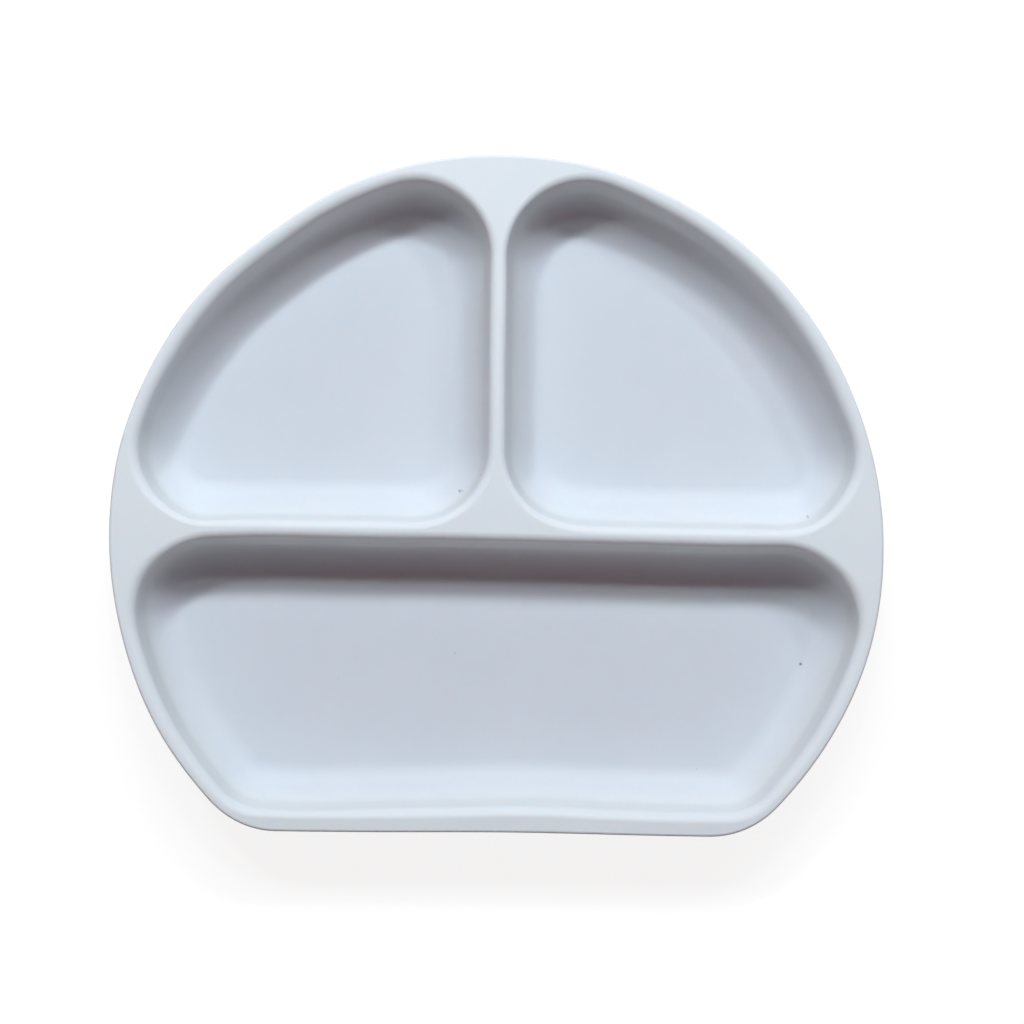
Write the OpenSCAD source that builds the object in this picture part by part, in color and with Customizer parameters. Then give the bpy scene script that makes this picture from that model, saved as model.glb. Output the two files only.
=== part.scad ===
// Divided plate for a small child, moulded in one piece from soft silicone.
// Seen from above it is a round plate cut off straight along the front. A narrow flat rim
// and two thin dividers part it into two compartments at the back and a wide one in front.
// Every wall leans, and meets the floor in a deep round corner that a spoon can follow.
// +Z is up, +X is to the right and -Y is the straight front. The origin lies on the table,
// under the middle of the plate.

/* [Plate] */
// Width across the round outline
plate_w = 216; // [200:1:236]
// How much of the round outline the straight front cuts off
front_cut = 26.5; // [20:0.5:36]
// Height of the rim above the table
plate_h = 25; // [22:0.5:30]
// Radius of the two front corners
front_corner_r = 26; // [20:1:36]

/* [Rim and outer wall] */
// Width of the rim's flat top round the sides and the back
rim_flat = 2.2; // [1.6:0.1:5]
// Width of the rim's flat top along the straight front
front_rim_flat = 4.3; // [2.6:0.1:8]
// Rounding of the rim's outer edge
rim_edge_r = 0.8; // [0.3:0.1:1.2]
// Lean of the outer wall in degrees
outer_draft = 9; // [3:0.5:13]
// Rounding of the outer wall's foot
base_edge_r = 4; // [1:0.5:6]

/* [Dividers] */
// Width of the flat top of the divider between the two back compartments
back_divider_flat = 0.2; // [0.2:0.1:4]
// Width of the flat top of the divider across the plate
cross_divider_flat = 0.2; // [0.2:0.1:4]
// Distance of the divider across the plate behind the centre of the round outline
cross_divider_y = 2.5; // [-8:0.1:12]

/* [Compartments] */
// Rounding of the mouths
mouth_r = 3.1; // [1:0.1:3.4]
// Lean of the compartment walls in degrees
wall_draft = 9; // [4:0.5:10]
// Rounding between wall and floor
floor_r = 11; // [5:0.5:11.5]
// Thickness of the floors
floor_t = 3; // [2:0.1:5]
// Corner of a back compartment beside the back divider and the rim
back_top_r = 23.5; // [18:0.5:30]
// Corner of a back compartment between the two dividers
back_inner_r = 23.5; // [18:0.5:30]
// Corner of a back compartment beside the cross divider and the rim
back_outer_r = 21.5; // [18:0.5:30]
// Corners of the front compartment beside the cross divider
front_top_r = 23.5; // [18:0.5:30]
// Corners of the front compartment beside the straight front
front_bottom_r = 17; // [16:0.5:26]

/* [Foot] */
// Height of the foot ring
foot_h = 1.2; // [0.6:0.1:2.5]
// Width of the foot ring's flat underside
foot_w = 7; // [4:0.5:14]

/* [Hidden] */
$fn = 96;

silicone = [0.84, 0.87, 0.905];

// The mouths' rounding meets the rim's flat, and the outer wall's foot the table, at this angle
edge_break = max(wall_draft, outer_draft) + 2;
// How far a cut runs past the surface it opens
past = 1;
// Width of the flat margin that joins a swept wall to the block inside it
margin = 1.5;
// Largest turn between two corners of that block, in degrees
block_turn = 10;
// Length, or angle in degrees, of the short last stretch of a swept wall
last_stretch = 0.05;

plate_r = plate_w / 2;
front_y = front_cut - plate_r;
floor_z = foot_h + floor_t;
centre_y = -front_cut / 2;

function along(a) = [cos(a), sin(a)];

// The outlines are rings of arcs, each [centre, radius, start angle, end angle], run anticlockwise.
// A corner's place follows from what it touches: a circle round the origin and a straight side.
function x_inside(circle_r, corner_r, y) = sqrt(pow(circle_r - corner_r, 2) - y * y);
function angle_of(p) = atan2(p[1], p[0]);

// Outline of a round form cut off straight along the front
function cut_round(r, y, corner_r) =
    let (
        c = [x_inside(r, corner_r, y + corner_r), y + corner_r],
        a = angle_of(c)
    )
    [
        [[0, 0], r, a, 180 - a],
        [[-c[0], c[1]], corner_r, 180 - a, 270],
        [c, corner_r, -90, a]
    ];

// Mouth of the right-hand back compartment
function back_mouth() =
    let (
        r = plate_r - rim_flat,
        x = back_divider_flat / 2,
        y = cross_divider_y + cross_divider_flat / 2,
        top = [x + back_top_r, x_inside(r, back_top_r, x + back_top_r)],
        inner = [x + back_inner_r, y + back_inner_r],
        outer = [x_inside(r, back_outer_r, y + back_outer_r), y + back_outer_r]
    )
    [
        [[0, 0], r, angle_of(outer), angle_of(top)],
        [top, back_top_r, angle_of(top), 180],
        [inner, back_inner_r, 180, 270],
        [outer, back_outer_r, -90, angle_of(outer)]
    ];

// Mouth of the front compartment
function front_mouth() =
    let (
        r = plate_r - rim_flat,
        y_top = cross_divider_y - cross_divider_flat / 2 - front_top_r,
        y_bottom = front_y + front_rim_flat + front_bottom_r,
        top = [x_inside(r, front_top_r, y_top), y_top],
        bottom = [x_inside(r, front_bottom_r, y_bottom), y_bottom],
        a_top = angle_of(top),
        a_bottom = angle_of(bottom)
    )
    [
        [[0, 0], r, a_bottom, a_top],
        [top, front_top_r, a_top, 90],
        [[-top[0], top[1]], front_top_r, 90, 180 - a_top],
        [[0, 0], r, 180 - a_top, 180 - a_bottom],
        [[-bottom[0], bottom[1]], front_bottom_r, 180 - a_bottom, 270],
        [bottom, front_bottom_r, -90, a_bottom]
    ];

// How long the leaning part of a compartment wall is, and how far the whole wall comes in
depth = plate_h - floor_z;
wall_length =
    (depth - mouth_r * cos(edge_break) - floor_r + (mouth_r + floor_r) * sin(wall_draft))
    / cos(wall_draft);
wall_run =
    (mouth_r + floor_r) * cos(wall_draft) - mouth_r * sin(edge_break)
    + wall_length * sin(wall_draft);

// How long the leaning part of the outer wall is, and how far the whole wall comes in
outer_length =
    (plate_h - rim_edge_r - base_edge_r * cos(edge_break)
        - (rim_edge_r - base_edge_r) * sin(outer_draft))
    / cos(outer_draft);
outer_run =
    rim_edge_r + (base_edge_r - rim_edge_r) * cos(outer_draft)
    + outer_length * sin(outer_draft) - base_edge_r * sin(edge_break);

// Every place and angle is set in two steps, its whole hundredths and then the rest. Together
// they keep more figures than one step does, so neighbouring stretches of wall meet exactly.
function hundredths(v) = round(100 * v) / 100;

module set_at(p) {
    whole = [hundredths(p[0]), hundredths(p[1])];
    translate(whole)
        translate(p - whole)
            children();
}

// Part of a disc on the left of the Y axis, above or below a line through its centre
module disc_part(r, lean, above) {
    intersection() {
        circle(r);
        translate([-2 * r, -2 * r])
            square([2 * r, 4 * r]);
        rotate(lean)
            translate([-2 * r, above ? 0 : -2 * r])
                square([4 * r, 2 * r]);
    }
}

// Section of the space beside a compartment wall: inset from the rim's flat, and height.
// It is drawn about the centre of the floor's rounding, and the wall in a frame that leans.
module wall_section(reach) {
    top = depth - floor_r + past;
    set_at([wall_run, floor_z + floor_r]) {
        disc_part(floor_r, wall_draft, false);
        translate([0, -floor_r])
            square([reach - wall_run, top + floor_r]);
        translate([-floor_r / 2, 0])
            square([floor_r / 2 + margin / 2, top]);
        rotate(wall_draft) {
            translate([-floor_r, 0])
                square([floor_r, wall_length]);
            translate([-floor_r - mouth_r, wall_length])
                difference() {
                    square([floor_r + mouth_r, floor_r]);
                    circle(mouth_r);
                }
        }
    }
}

// Section of the plate beside its outer wall: inset from the outline, and height.
// It is drawn about the centre of the rim edge's rounding, and passes below the table.
module outer_section(reach) {
    low = plate_h - rim_edge_r + past;
    foot_centre_x = outer_run + base_edge_r * sin(edge_break) - rim_edge_r;
    width = (reach - rim_edge_r - outer_length * sin(outer_draft)) / cos(outer_draft);
    set_at([rim_edge_r, plate_h - rim_edge_r]) {
        disc_part(rim_edge_r, outer_draft, true);
        translate([0, -rim_edge_r])
            square([reach - rim_edge_r, 2 * rim_edge_r]);
        translate([foot_centre_x, -low])
            square([reach - rim_edge_r - foot_centre_x, low]);
        intersection() {
            rotate(outer_draft) {
                translate([-rim_edge_r, -outer_length])
                    square([rim_edge_r + width, outer_length]);
                translate([base_edge_r - rim_edge_r, -outer_length])
                    intersection() {
                        circle(base_edge_r);
                        translate([-2 * base_edge_r, -2 * base_edge_r])
                            square(2 * base_edge_r);
                    }
                translate([base_edge_r - rim_edge_r, -outer_length - base_edge_r])
                    square([margin, base_edge_r]);
            }
            translate([-reach, -low])
                square([2 * reach, low + rim_edge_r]);
        }
    }
}

// Section of the hollow inside the foot ring: inset from the outline, and height
module foot_section(reach) {
    translate([outer_run + foot_w, -past])
        square([reach - outer_run - foot_w, foot_h + past]);
}

// Turns a section about the Z axis, at a radius
module bend(r, start, sweep) {
    rotate(start - hundredths(start))
        rotate_extrude(angle = sweep, start = hundredths(start))
            set_at([r, 0])
                mirror([1, 0])
                    children();
}

// Carries a section along an arc, as a stretch of whole hundredths and a short one
module along_arc(centre, r, start, end) {
    sweep = hundredths(end - start - last_stretch);
    set_at(centre) {
        bend(r, start, sweep)
            children();
        bend(r, start + sweep, end - start - sweep)
            children();
    }
}

// Carries a section along a straight side, as a stretch of whole hundredths and a short one
module along_side(from, to) {
    forward = (to - from) / norm(to - from);
    run = hundredths(norm(to - from) - last_stretch);
    rest = norm(to - from) - run;
    for (part = [[from, run], [to - rest * forward, rest]])
        set_at(part[0])
            rotate([90, 0, atan2(forward[1], forward[0]) + 90])
                linear_extrude(part[1])
                    children();
}

// Carries a section round an outline, and fills the middle between two heights
module round_outline(arcs, reach, z0, z1) {
    for (i = [0 : len(arcs) - 1]) {
        arc = arcs[i];
        next = arcs[(i + 1) % len(arcs)];
        from = arc[0] + arc[1] * along(arc[3]);
        to = next[0] + next[1] * along(next[2]);
        along_arc(arc[0], arc[1], arc[2], arc[3])
            children();
        if (norm(to - from) > 2 * last_stretch)
            along_side(from, to)
                children();
    }
    translate([0, 0, z0])
        linear_extrude(z1 - z0)
            polygon([
                for (arc = arcs, n = ceil((arc[3] - arc[2]) / block_turn), i = [0 : n])
                    arc[0] + (arc[1] - reach + margin / 2)
                    * along(arc[2] + (arc[3] - arc[2]) * i / n)
            ]);
}

module compartment(mouth) {
    reach = wall_run + margin;
    round_outline(mouth, reach, floor_z, plate_h + past)
        wall_section(reach);
}

module plate() {
    outline = cut_round(plate_r, front_y, front_corner_r);
    reach = outer_run + outer_length * sin(outer_draft) + margin;
    foot_reach = outer_run + foot_w + margin;
    color(silicone)
        translate([0, centre_y, 0])
            difference() {
                round_outline(outline, reach, -past, plate_h)
                    outer_section(reach);
                compartment(back_mouth());
                mirror([1, 0, 0])
                    compartment(back_mouth());
                compartment(front_mouth());
                round_outline(outline, foot_reach, -past, foot_h)
                    foot_section(foot_reach);
                translate([-plate_w, -plate_w, -2 * past])
                    cube([2 * plate_w, 2 * plate_w, 2 * past]);
            }
}

plate();
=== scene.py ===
import math

import bmesh
import bpy
from mathutils import Matrix, Vector


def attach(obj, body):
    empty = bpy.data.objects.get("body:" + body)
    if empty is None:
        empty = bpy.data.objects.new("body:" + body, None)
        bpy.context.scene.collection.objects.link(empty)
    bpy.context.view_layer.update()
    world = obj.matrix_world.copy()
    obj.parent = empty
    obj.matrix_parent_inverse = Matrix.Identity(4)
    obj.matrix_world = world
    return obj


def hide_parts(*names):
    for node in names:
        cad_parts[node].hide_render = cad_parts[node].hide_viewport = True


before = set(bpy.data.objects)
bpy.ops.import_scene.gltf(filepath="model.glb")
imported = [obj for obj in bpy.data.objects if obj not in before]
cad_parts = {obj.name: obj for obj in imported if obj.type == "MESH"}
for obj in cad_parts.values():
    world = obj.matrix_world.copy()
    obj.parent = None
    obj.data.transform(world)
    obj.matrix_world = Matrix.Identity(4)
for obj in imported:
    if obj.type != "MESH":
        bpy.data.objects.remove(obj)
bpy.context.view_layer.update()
bpy.context.scene.view_settings.view_transform = "Standard"
mm = 0.001

# The view: a long lens hangs almost straight above the plate, a little in front of its middle.
# It is turned a trace, so that the plate's right side dips in the picture.
eye = Vector((0.5, -35.3, 1000)) * mm
aim = Vector((4.26, -5.1, 25)) * mm
view_turn = math.radians(0.75)
view_width = 285.3 * mm

sight = bpy.data.cameras.new("camera")
sight.sensor_width = 36
sight.lens = sight.sensor_width * (eye - aim).length / view_width
sight.clip_start = 0.05
sight.clip_end = 20
camera = bpy.data.objects.new("camera", sight)
bpy.context.scene.collection.objects.link(camera)
back = (eye - aim).normalized()
side = Vector((-math.sin(view_turn), math.cos(view_turn), 0)).cross(back).normalized()
camera.matrix_world = Matrix.Translation(eye) @ Matrix(
    (side, back.cross(side), back)
).transposed().to_4x4()
bpy.context.scene.camera = camera


# The plate: one piece of silicone pressed in a mould, so its walls lean and its corners are
# round. Three mouths open in its top; a lean wall leads from each mouth down to a deep round
# corner and a flat floor. Outside, the wall comes in to a low foot ring.
plate_r = 108 * mm
plate_h = 25 * mm
front_cut = 26.5 * mm
front_y = front_cut - plate_r
middle = Vector((0, -front_cut / 2, 0))
rim_flat = 2.2 * mm
front_rim_flat = 4.3 * mm
divider_flat = 0.2 * mm
divider_y = 2.5 * mm
front_corner = 26 * mm
back_inner_corner = 23.5 * mm
back_outer_corner = 21.5 * mm
front_top_corner = 23.5 * mm
front_bottom_corner = 17 * mm
foot_h = 1.2 * mm
floor_z = foot_h + 3 * mm
floor_rounding = 11 * mm
lean = math.radians(9)
rim_rounding = 3.3 * mm
divider_rounding = 2.55 * mm
edge_rounding = 0.8 * mm
base_rounding = 4 * mm
foot_flat = 6.24 * mm
wall_top = 2.47 * mm
support = 0.03 * mm


def along(turn):
    return Vector((math.cos(turn), math.sin(turn)))


def beside(circle, corner, level):
    """How far out a corner's middle lies that touches a circle, at a level across the plate."""
    return math.sqrt((circle - corner) ** 2 - level**2)


def bearing(point):
    return math.atan2(point.y, point.x)


# An outline is a run of arcs, anticlockwise, each a centre, a radius and two directions
half, quarter = math.pi, math.pi / 2


def cut_round(radius, level, corner):
    right = Vector((beside(radius, corner, level + corner), level + corner))
    left = Vector((-right.x, right.y))
    swing = bearing(right)
    return [
        (Vector((0, 0)), radius, swing, half - swing),
        (left, corner, half - swing, 3 * quarter),
        (right, corner, -quarter, swing),
    ]


def back_mouth(hand):
    radius = plate_r - rim_flat
    x, y = divider_flat / 2, divider_y + divider_flat / 2
    wide, tight = back_inner_corner, back_outer_corner
    top = Vector((x + wide, beside(radius, wide, x + wide)))
    inner = Vector((x + wide, y + wide))
    outer = Vector((beside(radius, tight, y + tight), y + tight))
    arcs = [
        (Vector((0, 0)), radius, bearing(outer), bearing(top)),
        (top, wide, bearing(top), half),
        (inner, wide, half, 3 * quarter),
        (outer, tight, -quarter, bearing(outer)),
    ]
    if hand > 0:
        return arcs
    return [
        (Vector((-centre.x, centre.y)), size, half - end, half - start)
        for centre, size, start, end in reversed(arcs)
    ]


def front_mouth():
    radius = plate_r - rim_flat
    wide, tight = front_top_corner, front_bottom_corner
    top_y = divider_y - divider_flat / 2 - wide
    bottom_y = front_y + front_rim_flat + tight
    top = Vector((beside(radius, wide, top_y), top_y))
    bottom = Vector((beside(radius, tight, bottom_y), bottom_y))
    top_left, bottom_left = Vector((-top.x, top.y)), Vector((-bottom.x, bottom.y))
    return [
        (Vector((0, 0)), radius, bearing(bottom), bearing(top)),
        (top, wide, bearing(top), quarter),
        (top_left, wide, quarter, half - bearing(top)),
        (Vector((0, 0)), radius, half - bearing(top), half - bearing(bottom)),
        (bottom_left, tight, half - bearing(bottom), 3 * quarter),
        (bottom, tight, -quarter, bearing(bottom)),
    ]


# How far apart the places on an outline are: on an arc, in turn on a small arc, on a straight
arc_step, turn_step, straight_step = 1.0 * mm, math.radians(2.2), 2 * mm


def walk(arcs):
    """Places round an outline, each with the direction that leads inside it."""
    places = []
    for number, (centre, radius, start, end) in enumerate(arcs):
        count = math.ceil((end - start) * max(radius / arc_step, 1 / turn_step))
        for step in range(count + 1):
            way = along(start + (end - start) * step / count)
            places.append((centre + radius * way, -way))
        centre, radius, start, end = arcs[(number + 1) % len(arcs)]
        here, inward = places[-1]
        target = centre + radius * along(start)
        count = math.ceil((target - here).length / straight_step - 0.01)
        if count == 0:
            places.pop()
        places += [(here.lerp(target, step / count), inward) for step in range(1, count)]
    return places


# Soft silicone never lies quite true: dents and bulges of the outline, each the direction in
# degrees from the right, its spread in degrees and its height in millimetres. Inwards they fade
# with a power of the distance from the middle.
unevenness = (
    (127.7, 10, -1.1), (24, 15, -0.35), (75, 8, 0.35), (166, 8, 0.27), (195, 13, -0.4),
    (-17, 12, 0.42), (-43, 8, -0.25), (222, 9, -0.45),
)
fading_power = 12

# In millimetres: the cross divider droops, more on its right, and the front edge is dented. Its x
# and length say where along the plate each happens, and its spread how far across the plate.
droop_mean, droop_change, droop_x, droop_length, droop_spread = 0.2, 0.5, 15, 40, 30
dent_depth, dent_x, dent_length, dent_spread = 0.5, 6, 32, 10

# The mouths give a little too: each the middle of a stretch in millimetres, its spread, and how
# far it goes in, or out where it is less than nought. Where one goes out, the mouth's rounding is
# tighter by a share of that.
right_gives = (
    (8, 92, 18, -1.0), (30, 101, 14, -0.55), (0, 50, 25, -0.6), (4, 14, 12, -0.5),
    (18, 3, 6, 0.4), (98.5, 12, 8, 0.85), (100.5, 32, 6, -0.45),
)
left_gives = (
    (-4.5, 92, 8, -0.4), (-24, 102, 14, -0.4), (0, 60, 25, 0.22), (-97, 38, 16, -0.6),
    (-85, 2.6, 10, -0.6),
)
front_gives = (
    (-88, 0, 15, 0.85), (-52, -77, 16, -0.9), (10, -77, 22, 0.72), (-35, 2.4, 16, 0.22),
    (62, 2.4, 14, 0.22), (102, -20, 18, -0.4),
)
tightening = 0.85


def swell(gap, spread):
    """A smooth hump: 1 in its middle and almost nothing at twice its spread."""
    return math.exp(-((gap / spread) ** 2))


def settled(place):
    """Where a place of the true outline comes to lie on the soft plate."""
    x, y = place / mm
    rise = 0
    for direction, spread, height in unevenness:
        gap = (math.degrees(bearing(place)) - direction + 180) % 360 - 180
        rise += height * swell(gap, spread)
    rise *= (place.length / plate_r) ** fading_power
    droop = droop_mean + droop_change * math.tanh((x - droop_x) / droop_length)
    droop *= swell(y - divider_y / mm, droop_spread)
    dent = dent_depth * swell(x - dent_x, dent_length) * swell(y - front_y / mm, dent_spread)
    moved = place + rise * mm * along(bearing(place)) + Vector((0, dent - droop)) * mm
    return Vector(
        (min(max(moved.x, -plate_r), plate_r), min(max(moved.y, front_y), plate_r))
    )


def rounding_at(place):
    """The mouths are rounded more along the rim than along the dividers."""
    rim_band, fade_width = 4.5 * mm, 11 * mm
    from_edge = min(plate_r - place.length, place.y - front_y)
    share = min(max((from_edge - rim_band) / fade_width, 0), 1)
    return rim_rounding + (divider_rounding - rim_rounding) * share**2 * (3 - 2 * share)


# A wall's steps: support on the flat, turn of the upper rounding, share of the straight,
# turn of the lower rounding, run across the foot ring, rise inside it, and which flat it meets.
# The flats have odd numbers, so the mean of one and nought, on an edge, is never another's.
rim, floor, foot = 1, 3, 5
inner_turn, outer_turn = quarter - lean, quarter + lean
mouth_cuts, floor_cuts, edge_cuts, base_cuts = 12, 16, 10, 8
inner_steps = [(-1, 0, 0, 0, 0, 0, rim)]
inner_steps += [
    (0, inner_turn * cut / mouth_cuts, 0, 0, 0, 0, 0) for cut in range(mouth_cuts + 1)
]
inner_steps += [(0, inner_turn, share, 0, 0, 0, 0) for share in (0.02, 0.5, 0.98)]
inner_steps += [
    (0, inner_turn, 1, inner_turn * cut / floor_cuts, 0, 0, 0) for cut in range(floor_cuts + 1)
]
inner_steps += [(1, inner_turn, 1, inner_turn, 0, 0, floor)]
outer_steps = [(1, 0, 0, 0, 0, 0, rim)]
outer_steps += [(0, outer_turn * cut / edge_cuts, 0, 0, 0, 0, 0) for cut in range(edge_cuts + 1)]
outer_steps += [(0, outer_turn, share, 0, 0, 0, 0) for share in (0.01, 0.34, 0.67, 0.99)]
outer_steps += [
    (0, outer_turn, 1, inner_turn * cut / base_cuts, 0, 0, 0) for cut in range(base_cuts + 1)
]
# Across the foot ring, with a small rounding at its inner edge and at the top of its rise
outer_steps += [
    (0, outer_turn, 1, inner_turn, run, rise, 0)
    for run, rise in (
        (0.02, 0), (0.94, 0), (0.957, 0), (0.987, 0.07), (1, 0.25),
        (1, 0.75), (1.013, 0.93), (1.043, 1),
    )
]
outer_steps += [(0, outer_turn, 1, inner_turn, 1.06, 1, foot)]
step_names = ("lap", "upper_turn", "fall", "lower_turn", "foot_run", "foot_rise", "flat")

points, faces, inwards, roundings, outsides, steps = [], [], [], [], [], []
for outside, arcs, gives in (
    (False, back_mouth(1), right_gives),
    (False, back_mouth(-1), left_gives),
    (False, front_mouth(), front_gives),
    (True, cut_round(plate_r, front_y, front_corner), ()),
):
    places, wall = walk(arcs), outer_steps if outside else inner_steps
    first, tall = len(points), len(wall)
    for number, (place, inward) in enumerate(places):
        give = 0
        for x, y, spread, depth in gives:
            give += depth * mm * swell((place / mm - Vector((x, y))).length, spread)
        points += [(*(settled(place) + give * inward), 0)] * tall
        inwards += [inward.x, inward.y, 0] * tall
        tighter = tightening * min(give, 0)
        roundings += [edge_rounding if outside else rounding_at(place) + tighter] * tall
        outsides += [outside] * tall
        steps += wall
        here = first + number * tall
        there = first + (number + 1) % len(places) * tall
        for level in range(tall - 1):
            corners = (here + level, there + level, there + level + 1, here + level + 1)
            faces.append(corners[::-1] if outside else corners)

layout = bpy.data.meshes.new("plate_layout")
layout.from_pydata(points, [], faces)
layout.attributes.new("inward", "FLOAT_VECTOR", "POINT").data.foreach_set("vector", inwards)
layout.attributes.new("rounding", "FLOAT", "POINT").data.foreach_set("value", roundings)
layout.attributes.new("outside", "BOOLEAN", "POINT").data.foreach_set("value", outsides)
for number, name in enumerate(step_names):
    values = [float(step[number]) for step in steps]
    layout.attributes.new(name, "FLOAT", "POINT").data.foreach_set("value", values)


class Wire:
    """An output of a node. Sums and products of wires and numbers add Math nodes."""

    def __init__(self, tree, socket=None):
        self.tree, self.socket = tree, socket

    def node(self, kind, settings=None, inputs=None, output=0):
        made = self.tree.nodes.new(kind)
        settings = dict(settings or {})
        stops = settings.pop("stops", None)
        for name, value in settings.items():
            setattr(made, name, value)
        if stops:
            ramp = made.color_ramp.elements
            while len(ramp) < len(stops):
                ramp.new(1)
            for stop, (place, colour) in zip(ramp, stops):
                stop.position, stop.color = place, colour
        for name, value in (inputs or {}).items():
            if isinstance(value, Wire):
                self.tree.links.new(value.socket, made.inputs[name])
            else:
                made.inputs[name].default_value = value
        return Wire(self.tree, made.outputs[output] if made.outputs else None)

    def sum(self, operation, *values):
        return self.node("ShaderNodeMath", {"operation": operation}, dict(enumerate(values)))

    def __add__(self, other):
        return self.sum("ADD", self, other)

    def __radd__(self, other):
        return self.sum("ADD", other, self)

    def __sub__(self, other):
        return self.sum("SUBTRACT", self, other)

    def __rsub__(self, other):
        return self.sum("SUBTRACT", other, self)

    def __mul__(self, other):
        return self.sum("MULTIPLY", self, other)

    def __rmul__(self, other):
        return self.sum("MULTIPLY", other, self)

    def __truediv__(self, other):
        return self.sum("DIVIDE", self, other)

    def __rtruediv__(self, other):
        return self.sum("DIVIDE", other, self)


# Silicone, pale blue-grey and satin: a faint cloudiness, a very fine grain, and a few specks.
# The floors are painted darker than the rim as painted shade in the pockets, and the walls
# lie between them.
floor_tone_painted_shade = (0.59, 0.638, 0.702, 1)
wall_tone_painted_shade = (0.674, 0.718, 0.748, 1)
rim_tone = (0.676, 0.734, 0.782, 1)
speck_tone = (0.12, 0.125, 0.14, 1)
silicone = bpy.data.materials.new("silicone")
silicone.use_nodes = True
silicone.node_tree.nodes.clear()
skin = Wire(silicone.node_tree)
spot = skin.node("ShaderNodeTexCoord", output="Object")
level = skin.node("ShaderNodeSeparateXYZ", inputs={"Vector": spot}, output="Z")
flat_spot = skin.node(
    "ShaderNodeVectorMath", {"operation": "MULTIPLY"}, {0: spot, 1: (1, 1, 0)}
)
cloud = skin.node("ShaderNodeTexNoise", inputs={"Vector": spot, "Scale": 28.0, "Detail": 2.0})
smear = skin.node("ShaderNodeTexNoise", inputs={"Vector": spot, "Scale": 120.0, "Detail": 3.0})
wave = skin.node("ShaderNodeTexNoise", inputs={"Vector": spot, "Scale": 90.0, "Detail": 1.0})
grain = skin.node("ShaderNodeTexNoise", inputs={"Vector": spot, "Scale": 2600.0, "Detail": 2.0})


def fade(value, start, end, first, last):
    """Goes smoothly from one number to another while a value crosses a range."""
    return skin.node(
        "ShaderNodeMapRange",
        {"interpolation_type": "SMOOTHSTEP"},
        {"Value": value, "From Min": start, "From Max": end, "To Min": first, "To Max": last},
    )


def blend(kind, share, first, second):
    return skin.node(
        "ShaderNodeMix",
        {"data_type": "RGBA", "blend_type": kind},
        {0: share, 6: first, 7: second},
        2,
    )


def dots(marks):
    """Small round marks, each its place on the plate, its radius and its strength."""
    total = 0
    for x, y, radius, strength in marks:
        gap = skin.node(
            "ShaderNodeVectorMath",
            {"operation": "DISTANCE"},
            {0: flat_spot, 1: (x * mm, y * mm, 0)},
            "Value",
        )
        total = fade(gap, 0.3 * radius * mm, 1.2 * radius * mm, strength, 0.0) + total
    return total


specks = dots((
    (86.9, -46.6, 0.52, 0.85), (-11.3, -44.8, 0.35, 0.28), (57.8, -76.8, 0.3, 0.25),
    (-4.6, 5.4, 0.3, 0.3), (-9.8, 1.2, 0.32, 0.35), (-44.5, -52.6, 0.35, 0.1),
    (14.2, -37.5, 0.3, 0.09), (15.0, -37.3, 0.3, 0.09), (15.8, -37.1, 0.3, 0.09),
))
pimples = dots(((-10.4, 1.3, 0.45, 1.0), (88.2, -4.7, 0.5, 0.7)))
# Painted shade: the colour darkens by height, from the rim down the walls to the floors
base = blend("MIX", fade(level, 4 * mm, 13 * mm, 0.0, 1.0), floor_tone_painted_shade, wall_tone_painted_shade)
base = blend("MIX", fade(level, 20 * mm, 24 * mm, 0.0, 1.0), base, rim_tone)
tint = skin.node(
    "ShaderNodeValToRGB",
    {"stops": [(0.3, (0.965, 0.975, 0.985, 1)), (0.7, (1.0, 1.0, 1.0, 1))]},
    {0: 0.7 * cloud + 0.3 * smear},
)
base = blend("MULTIPLY", 1.0, base, tint)
base = blend("MIX", specks, base, speck_tone)
finish = skin.node(
    "ShaderNodeBump", inputs={"Strength": 0.25, "Distance": 0.06 * mm, "Height": grain}
)
finish = skin.node(
    "ShaderNodeBump",
    inputs={"Strength": 0.3, "Distance": 0.3 * mm, "Height": wave, "Normal": finish},
)
finish = skin.node(
    "ShaderNodeBump",
    inputs={"Strength": 1.0, "Distance": 0.5 * mm, "Height": pimples, "Normal": finish},
)
shader = skin.node(
    "ShaderNodeBsdfPrincipled",
    inputs={
        "Base Color": base,
        "Roughness": 0.44 + 0.16 * smear,
        "IOR": 1.41,
        "Specular IOR Level": 0.4,
        "Subsurface Weight": 0.12,
        "Subsurface Scale": 2.0 * mm,
        "Normal": finish,
    },
)
skin.node("ShaderNodeOutputMaterial", inputs={"Surface": shader})

# The tree that gives the layout its walls and fills its flats
tree = bpy.data.node_groups.new("plate_walls", "GeometryNodeTree")
tree.interface.new_socket("Layout", in_out="INPUT", socket_type="NodeSocketGeometry")
sizes = {
    "Plate height": plate_h,
    "Floor height": floor_z,
    "Foot height": foot_h,
    "Foot ring width": foot_flat,
    "Lean": lean,
    "Wall top inset": wall_top,
    "Floor rounding": floor_rounding,
    "Base rounding": base_rounding,
    "Support": support,
}
for name in sizes:
    tree.interface.new_socket(name, in_out="INPUT", socket_type="NodeSocketFloat")
tree.interface.new_socket("Silicone", in_out="INPUT", socket_type="NodeSocketMaterial")
tree.interface.new_socket("Plate", in_out="OUTPUT", socket_type="NodeSocketGeometry")
given = tree.nodes.new("NodeGroupInput")
size = {socket.name: Wire(tree, socket) for socket in given.outputs if socket.name}
form = Wire(tree)


def kept(name, kind="FLOAT"):
    return form.node("GeometryNodeInputNamedAttribute", {"data_type": kind}, {"Name": name})


def choose(outer, inner):
    return form.node(
        "GeometryNodeSwitch",
        {"input_type": "FLOAT"},
        {"Switch": kept("outside", "BOOLEAN"), "False": inner, "True": outer},
    )


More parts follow.
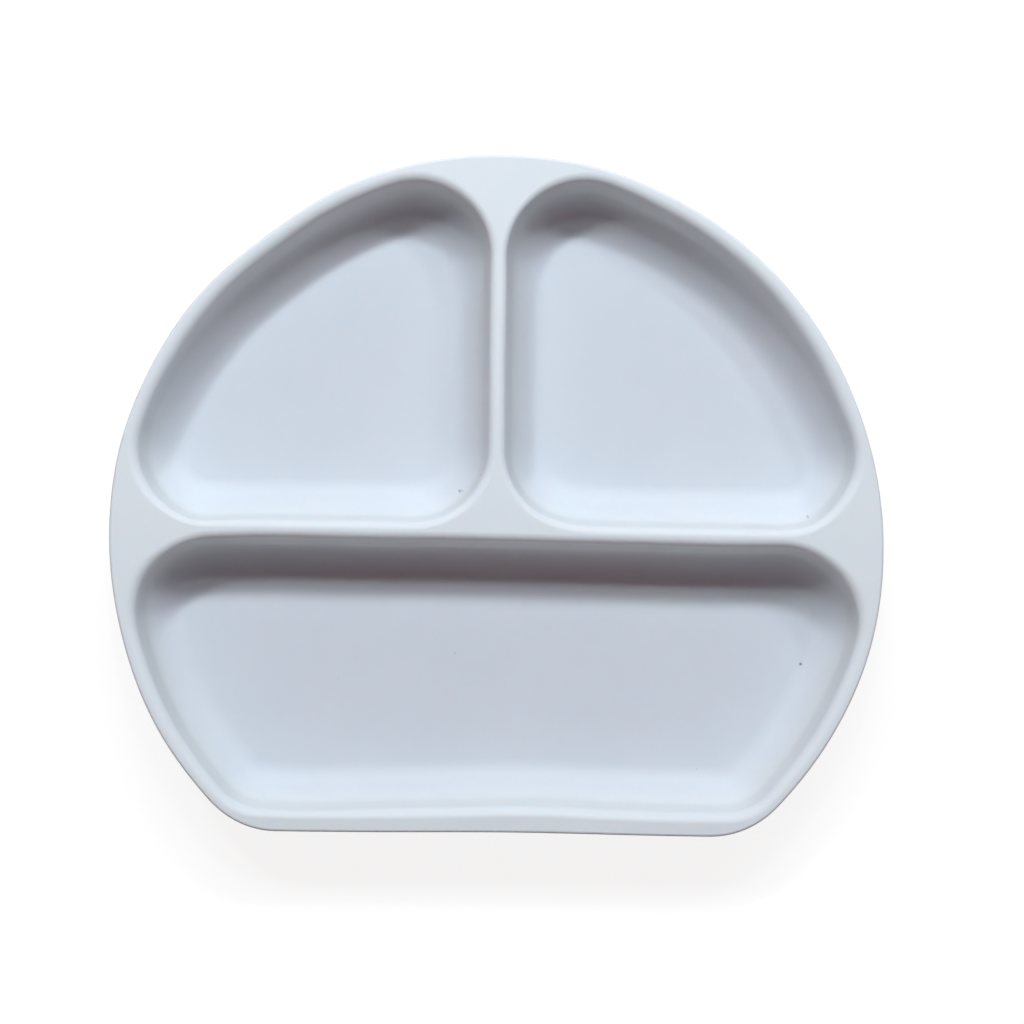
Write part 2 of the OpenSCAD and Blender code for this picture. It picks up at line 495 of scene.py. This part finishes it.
slope, upright = form.sum("SINE", size["Lean"]), form.sum("COSINE", size["Lean"])
turn, round_r = kept("upper_turn"), kept("rounding")
low_turn = kept("lower_turn") + size["Lean"]
low_r = choose(size["Base rounding"], size["Floor rounding"])
drop = choose(size["Plate height"], size["Plate height"] - size["Floor height"])
upper_drop = round_r * choose(1 + slope, 1 - slope)
straight = (drop - upper_drop - low_r * (1 - slope)) / upright
swing = round_r * form.sum("SINE", turn)
inset = (
    choose(round_r - swing, size["Wall top inset"] - round_r * upright + swing)
    + kept("lap") * size["Support"]
    + straight * slope * kept("fall")
    + low_r * (upright - form.sum("COSINE", low_turn))
    + size["Foot ring width"] * kept("foot_run")
)
height = (
    size["Plate height"]
    - round_r * (1 - form.sum("COSINE", turn))
    - straight * upright * kept("fall")
    - low_r * (form.sum("SINE", low_turn) - slope)
    + size["Foot height"] * kept("foot_rise")
)
inward = form.node(
    "ShaderNodeVectorMath",
    {"operation": "SCALE"},
    {0: kept("inward", "FLOAT_VECTOR"), "Scale": inset},
)
shift = form.node(
    "ShaderNodeVectorMath",
    {"operation": "ADD"},
    {0: inward, 1: form.node("ShaderNodeCombineXYZ", inputs={"Z": height})},
)
walls = form.node("GeometryNodeSetPosition", inputs={"Geometry": size["Layout"], "Offset": shift})


def filled(flat, level):
    """The flat inside the borders that carry its number, at a level."""
    chosen = form.node(
        "FunctionNodeCompare",
        {"data_type": "FLOAT", "operation": "EQUAL"},
        {"A": kept("flat"), "B": flat, "Epsilon": 0.1},
    )
    border = form.node("GeometryNodeMeshToCurve", inputs={"Mesh": walls, "Selection": chosen})
    sheet = form.node("GeometryNodeFillCurve", {"mode": "TRIANGLES"}, {"Curve": border})
    lift = form.node("ShaderNodeCombineXYZ", inputs={"Z": level})
    return form.node("GeometryNodeSetPosition", inputs={"Geometry": sheet, "Offset": lift})


join = tree.nodes.new("GeometryNodeJoinGeometry")
for part in (
    walls,
    filled(rim, size["Plate height"]),
    filled(floor, size["Floor height"]),
    filled(foot, size["Foot height"]),
):
    tree.links.new(part.socket, join.inputs[0])
whole = form.node(
    "GeometryNodeMergeByDistance",
    inputs={"Geometry": Wire(tree, join.outputs[0]), "Distance": support / 20},
)
whole = form.node("GeometryNodeSetShadeSmooth", inputs={"Geometry": whole})
whole = form.node("GeometryNodeRealizeInstances", inputs={"Geometry": whole})
whole = form.node(
    "GeometryNodeSetMaterial", inputs={"Geometry": whole, "Material": size["Silicone"]}
)
form.node("NodeGroupOutput", inputs={"Plate": whole})

draft = bpy.data.objects.new("plate_draft", layout)
bpy.context.scene.collection.objects.link(draft)
modifier = draft.modifiers.new("walls", "NODES")
modifier.node_group = tree
for socket in tree.interface.items_tree:
    if socket.in_out == "INPUT" and socket.name in sizes:
        modifier[socket.identifier] = sizes[socket.name]
    if socket.in_out == "INPUT" and socket.name == "Silicone":
        modifier[socket.identifier] = silicone
depsgraph = bpy.context.evaluated_depsgraph_get()
shape = bpy.data.meshes.new_from_object(draft.evaluated_get(depsgraph), depsgraph=depsgraph)
bpy.data.objects.remove(draft)
shape.name = "divided_plate"
shape.transform(Matrix.Translation(middle))
solid = bmesh.new()
solid.from_mesh(shape)
bmesh.ops.recalc_face_normals(solid, faces=solid.faces)
solid.to_mesh(shape)
solid.free()
for name in ("inward", "rounding", "outside", *step_names):
    if name in shape.attributes:
        shape.attributes.remove(shape.attributes[name])
plate = bpy.data.objects.new("divided_plate", shape)
bpy.context.scene.collection.objects.link(plate)
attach(plate, "root")
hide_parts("plate")


# The table and the light: a plain table, three long soft lamps behind and above the plate, and
# two small ones higher up, which give its shadows their crisp edges. A low lamp on the left and
# the room add a weak, warm light, and a long low lamp in front lights the outer wall.
table_reach = 4
table_level = -0.05 * mm
table_glow = 0.86
table_mesh = bpy.data.meshes.new("table")
table_corners = [
    (x * table_reach, y * table_reach, table_level)
    for x, y in ((-1, -1), (1, -1), (1, 1), (-1, 1))
]
table_mesh.from_pydata(table_corners, [], [(0, 1, 2, 3)])
table = bpy.data.objects.new("table", table_mesh)
bpy.context.scene.collection.objects.link(table)

# The camera sees the table white, and the plate sees it grey
white = bpy.data.materials.new("white_table")
white.use_nodes = True
white.node_tree.nodes.clear()
board = Wire(white.node_tree)
seen = board.node("ShaderNodeLightPath", output="Is Camera Ray")
grey = board.node("ShaderNodeBsdfDiffuse", inputs={"Color": (0.6, 0.6, 0.6, 1)})
pale = board.node("ShaderNodeBsdfDiffuse", inputs={"Color": (0.2, 0.2, 0.2, 1)})
glow = board.node("ShaderNodeEmission", inputs={"Color": (1, 1, 1, 1), "Strength": table_glow})
shown = board.node("ShaderNodeAddShader", inputs={0: pale, 1: glow})
mixed = board.node("ShaderNodeMixShader", inputs={0: seen, 1: grey, 2: shown})
board.node("ShaderNodeOutputMaterial", inputs={"Surface": mixed})
table_mesh.materials.append(white)

# Each lamp: how far it hangs to the right in millimetres, its angle in degrees up from the level
# behind the plate (past 90 it hangs in front), its width and height in millimetres, its power in
# watts and its colour
lamp_distance = 1100 * mm
cool, warm, cream = (0.9, 0.97, 1), (1, 0.53, 0.46), (1, 0.96, 0.92)
for name, across, elevation, width, height, power, colour in (
    ("middle_lamp", 170, 50.4, 500, 85, 5.3, cool),
    ("left_lamp", -210, 53.2, 415, 67, 3.6, cool),
    ("right_lamp", 670, 53.5, 415, 67, 2.25, cool),
    ("high_left_lamp", -415, 59, 92, 73, 2.45, cool),
    ("high_lamp", 0, 61, 73, 67, 1.3, cool),
    ("low_left_lamp", -1170, 30, 500, 245, 1.0, warm),
    ("front_lamp", 0, 170, 1345, 134, 1.35, cream),
):
    light = bpy.data.lights.new(name, "AREA")
    light.shape = "RECTANGLE"
    light.size, light.size_y = width * mm, height * mm
    light.energy = power
    light.color = colour
    lamp = bpy.data.objects.new(name, light)
    bpy.context.scene.collection.objects.link(lamp)
    rise = math.radians(elevation)
    way = Vector((across * mm, lamp_distance * math.cos(rise), lamp_distance * math.sin(rise)))
    lamp.location = middle + way
    lamp.rotation_euler = way.to_track_quat("Z", "Y").to_euler()

room_light = 0.135
room = bpy.data.worlds.new("room")
bpy.context.scene.world = room
room.use_nodes = True
room.node_tree.nodes.clear()
air = Wire(room.node_tree)
seen = air.node("ShaderNodeLightPath", output="Is Camera Ray")
weak = air.node("ShaderNodeBackground", inputs={"Color": (*warm, 1), "Strength": room_light})
blank = air.node("ShaderNodeBackground", inputs={"Color": (1, 1, 1, 1), "Strength": 1.0})
mixed = air.node("ShaderNodeMixShader", inputs={0: seen, 1: weak, 2: blank})
air.node("ShaderNodeOutputWorld", inputs={"Surface": mixed})
